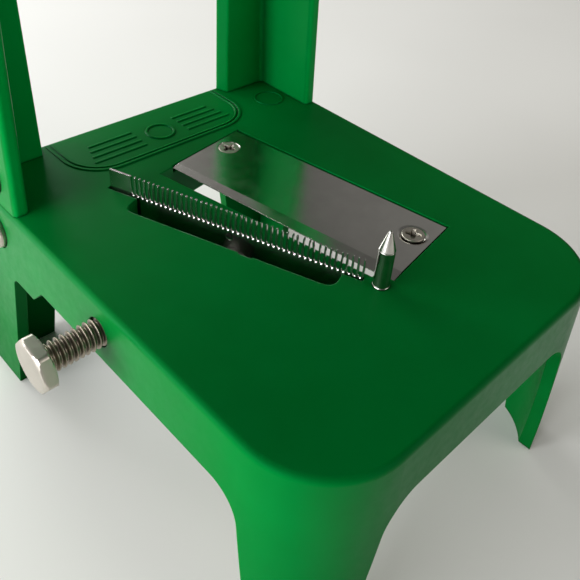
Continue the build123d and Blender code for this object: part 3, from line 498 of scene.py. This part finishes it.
def comb_outline(drop, widening, across):
    """Outline of the strip at one depth, as (along, up, across) points."""
    # The solid ends beyond the first and last gullets stand straight
    leans = [(0, 0)] + [tooth_lean(i) for i in range(GULLETS - 1)] + [(0, 0)]
    bottom_half = 0.335 + widening
    start = COMB_START - 0.45
    points = [(start, COMB_BOTTOM, across), (start, TOOTH_TOP - 1.2, across),
              (COMB_START - 0.40, TOOTH_TOP - 0.35, across)]
    for i in range(GULLETS):
        centre = COMB_START + i * TOOTH_PITCH + GULLET_WIDTH / 2
        near_lean, far_lean = leans[i], leans[i + 1]
        near, far = [], []
        for z, half in GULLET_SIDE + ((0.8, bottom_half),):
            bend = (z / TOOTH_TOP) ** 1.6
            up = z - (drop * 0.5 if z < 1.0 else 0.0)
            near.append((centre - half + near_lean[0] * bend, up, across + near_lean[1] * bend))
            far.append((centre + half + far_lean[0] * bend, up, across + far_lean[1] * bend))
        points += near
        for degrees in GULLET_ARC:
            angle = math.radians(degrees)
            points.append((centre + bottom_half * math.cos(angle),
                           0.36 - drop + (bottom_half + 0.02) * math.sin(angle), across))
        points += far[::-1]
    points += [(COMB_END - 0.15, TOOTH_TOP, across), (COMB_END, TOOTH_TOP - 0.15, across),
               (COMB_END, COMB_BOTTOM, across)]
    return points


def press_mark(comb):
    """Cut the punch mark into the dished face."""
    rings = [[comb_point(MARK_ALONG + radius * math.cos(angle), MARK_UP + radius * math.sin(angle),
                         DISHED_FACE + offset) for angle in angles(40)]
             for radius, offset in MARK_PROFILE]
    cutter = skin("mark_cutter", rings, COMB, sharp=50)
    modifier = comb.modifiers.new("mark", "BOOLEAN")
    modifier.operation = "DIFFERENCE"
    modifier.solver = "EXACT"
    modifier.object = cutter
    depsgraph = bpy.context.evaluated_depsgraph_get()
    cut = bpy.data.meshes.new_from_object(comb.evaluated_get(depsgraph))
    comb.modifiers.clear()
    comb.data = cut
    # The strip's two broad faces stay flat
    across = Vector((-COMB_COS, -COMB_SIN, 0.0))
    for face in cut.polygons:
        face.use_smooth = abs(face.normal.dot(across)) < 0.98
    cut.set_sharp_from_angle(angle=math.radians(COMB_SHARP))
    bpy.data.objects.remove(cutter)


def make_comb():
    """Needle teeth with dished gullets, a few teeth bent."""
    rings = [[comb_point(*point) for point in comb_outline(*layer)] for layer in COMB_LAYERS]
    comb = skin("comb_strip_teeth", rings, COMB, sharp=COMB_SHARP)
    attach(comb, "comb")
    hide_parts("comb_strip")
    press_mark(comb)


make_comb()


# ---------------------------------------------------------------- centre pin
# Straight pin with a bead at its foot and a cone on top: (radius, height from TOP_Z)
PIN_PROFILE = (
    (0.2, -13.0), (1.2, -13.0), (1.35, -12.85), (1.35, -9.0), (1.77, -8.98), (1.77, 0.03),
    (1.86, 0.04), (1.91, 0.10), (1.91, 0.22), (1.87, 0.32), (1.80, 0.40), (1.79, 0.55),
    (1.79, 9.50), (1.74, 9.56), (1.74, 9.66), (1.78, 9.72), (1.76, 9.80),
    (0.42, 14.08), (0.30, 14.28), (0.12, 14.38),
)


def make_pin():
    rings = [ring_about_z(TOP_Z + z, [radius] * 128, 0.0, AXIS_Y) for radius, z in PIN_PROFILE]
    pin = skin("centre_pin_turned", rings, PIN, sharp=9)
    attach(pin, "base")
    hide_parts("centre_pin")


make_pin()


# ---------------------------------------------------------------- press grips
GRIP_X, GRIP_Z = 44.3, 221.0                # inner end and height of the sleeves
RINGS_START, RING_PITCH = 3.2, 3.25         # finger rings along the sleeve

# Ends of the sleeve: (distance from the inner end, radius)
GRIP_INNER = [(0.0, 3.7), (0.0, 6.9), (0.25, 7.5), (0.7, 8.0), (1.6, 8.2), (2.4, 8.0), (2.8, 7.3)]
GRIP_OUTER = [(26.5, 7.9), (27.6, 7.75), (28.8, 7.2), (29.8, 6.4), (30.6, 5.2), (31.15, 3.8),
              (31.4, 2.2), (31.48, 0.8)]


def grip_profile():
    finger_rings = []
    x = RINGS_START
    while x < 26.0:
        swell = 7.25 + 0.95 * math.sin(math.pi * (x - RINGS_START) / 26.0)
        ridge = 0.22 * math.cos(2 * math.pi * (x - RINGS_START) / RING_PITCH)
        finger_rings.append((x, swell + ridge))
        x += 0.27
    return GRIP_INNER + finger_rings + GRIP_OUTER


def make_grip(name, side):
    rings = [ring_about_x(side * (GRIP_X + x), [radius] * 96, AXIS_Y, GRIP_Z)
             for x, radius in grip_profile()]
    grip = skin(name, rings, RUBBER, sharp=50)
    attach(grip, "carriage")
    return grip


left_grip = make_grip("press_grip_left", side=-1)
make_grip("press_grip_right", side=1)
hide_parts("press_grips")


# ---------------------------------------------------------------- crank knob
KNOB_X, KNOB_Z = 52.0, 252.2
FLUTES, FLUTE_DEPTH = 20, 0.42

# Up the outside, into the recessed top and down the bore: (radius, height)
KNOB_PROFILE = (
    (2.68, 0.0), (6.6, 0.0), (7.3, 0.25), (7.9, 0.9), (8.15, 1.8), (7.9, 3.4), (7.62, 6.0),
    (7.7, 9.0), (8.1, 13.0), (8.7, 17.0), (9.4, 21.0), (9.95, 24.5), (10.3, 27.5),
    (10.45, 29.5), (10.3, 31.4), (9.8, 33.0), (8.9, 34.3), (7.8, 35.0), (6.7, 35.2),
    (5.9, 35.15), (5.4, 34.85), (5.3, 34.3), (5.3, 31.1), (5.1, 30.95), (2.68, 30.9), (2.68, 0.0),
)


def fluted_radius(radius, height, angle):
    if radius <= 6.0 or not 2.5 < height < 31.5:
        return radius
    fade = min(1.0, (height - 2.5) / 3.0, (31.5 - height) / 4.0)
    return radius - FLUTE_DEPTH * fade * (0.5 - 0.5 * math.cos(angle * FLUTES)) ** 2.2


def make_knob():
    rings = []
    for (radius, low), (next_radius, high) in zip(KNOB_PROFILE[:-1], KNOB_PROFILE[1:]):
        steps = max(1, int(abs(high - low) / 0.7))
        for i in range(steps):
            part_way = i / steps
            here = radius + (next_radius - radius) * part_way
            height = low + (high - low) * part_way
            radii = [fluted_radius(here, height, angle) for angle in angles(240)]
            rings.append(ring_about_z(KNOB_Z + height, radii, KNOB_X, AXIS_Y))
    knob = skin("crank_knob_fluted", rings, KNOB, sharp=40, wrap=True)
    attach(knob, "knob")
    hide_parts("crank_knob")


make_knob()


# ---------------------------------------------------------------- stage, in metres
def make_floor():
    half = 2.6
    mesh = bpy.data.meshes.new("floor")
    corners = [(-half, -half, 0), (half, -half, 0), (half, half, 0), (-half, half, 0)]
    mesh.from_pydata(corners, [], [(0, 1, 2, 3)])
    floor = bpy.data.objects.new("floor", mesh)
    scene.collection.objects.link(floor)
    material, graph = new_material("floor_pale")
    mottle = graph.noise(graph.coords(), scale=6.0, detail=2.0, roughness=0.5)
    stops = [(0.2, (0.72, 0.71, 0.67)), (0.8, (0.76, 0.75, 0.71))]
    graph.set("Base Color", graph.ramp(mottle, stops))
    graph.set("Roughness", 0.62)
    graph.set("Specular IOR Level", 0.3)
    mesh.materials.append(material)


def make_world():
    """Dim even fill with soft bright lobes."""
    fill = 0.115
    world = bpy.data.worlds.new("studio")
    scene.world = world
    graph = Graph(world, "Background")
    view = graph.node("TexCoord").outputs["Generated"]

    def lobe(direction, cosines, gain):
        """Glow around a direction, rising between two cosines of the angle to it."""
        closeness = graph.node("VectorMath", {0: view, 1: Vector(direction).normalized()},
                               operation="DOT_PRODUCT").outputs["Value"]
        return graph.remap(closeness, source=cosines, target=(0.0, gain),
                           interpolation_type="SMOOTHSTEP")

    left = lobe((-0.88, 0.42, 0.12), cosines=(0.30, 0.98), gain=1.30)
    back = lobe((-0.35, 0.90, 0.18), cosines=(0.62, 0.99), gain=0.85)
    back_high = lobe((0.22, 0.84, 0.50), cosines=(0.90, 0.995), gain=0.30)
    right_high = lobe((0.86, 0.34, 0.38), cosines=(0.90, 0.995), gain=0.14)
    graph.set("Strength", graph.add(graph.add(left, back),
                                    graph.add(back_high, graph.add(right_high, fill))))
    graph.set("Color", (1.0, 0.985, 0.95, 1))


def area_light(name, place, target, size, power, colour):
    light = bpy.data.lights.new(name, "AREA")
    light.shape = "RECTANGLE"
    light.size, light.size_y = size
    light.energy = power
    light.color = colour
    lamp = bpy.data.objects.new(name, light)
    scene.collection.objects.link(lamp)
    lamp.location = place
    aim = Vector(target) - Vector(place)
    lamp.rotation_euler = aim.to_track_quat("-Z", "Y").to_euler()


def make_camera():
    lens = bpy.data.cameras.new("camera")
    camera = bpy.data.objects.new("camera", lens)
    scene.collection.objects.link(camera)
    lens.sensor_width = 36.0
    lens.lens = 44.058
    lens.shift_x = -0.01869
    lens.shift_y = -0.12591
    lens.clip_start = 0.005
    # Columns of the camera's matrix: its right, up and backward axes, and its place
    right = (0.71554771, -0.6946894, 0.0734719)
    up = (0.37232633, 0.46825475, 0.80131804)
    backward = (-0.59107071, -0.54602576, 0.59370977)
    place = (-0.0950334, -0.0631757 + AXIS_Y / 1000, 0.1598862)
    camera.matrix_world = Matrix((*zip(right, up, backward, place), (0, 0, 0, 1)))
    scene.camera = camera


make_floor()
make_world()
area_light("window", place=(-1.35, 0.18, 0.34), target=(0, 0, 0.06), size=(1.1, 0.56),
           power=28.0, colour=(0.97, 1.0, 1.05))
area_light("window_back", place=(0.02, 0.66, 0.40), target=(0.07, 0.22, 0.0),
           size=(0.45, 0.30), power=2.7, colour=(0.98, 1.0, 1.03))
area_light("front_fill", place=(0.35, -0.75, 0.55), target=(0.05, -0.08, 0.0),
           size=(0.6, 0.5), power=2.2, colour=(1.0, 0.97, 0.90))
make_camera()
scene.view_settings.view_transform = "Standard"
scene.view_settings.look = "None"
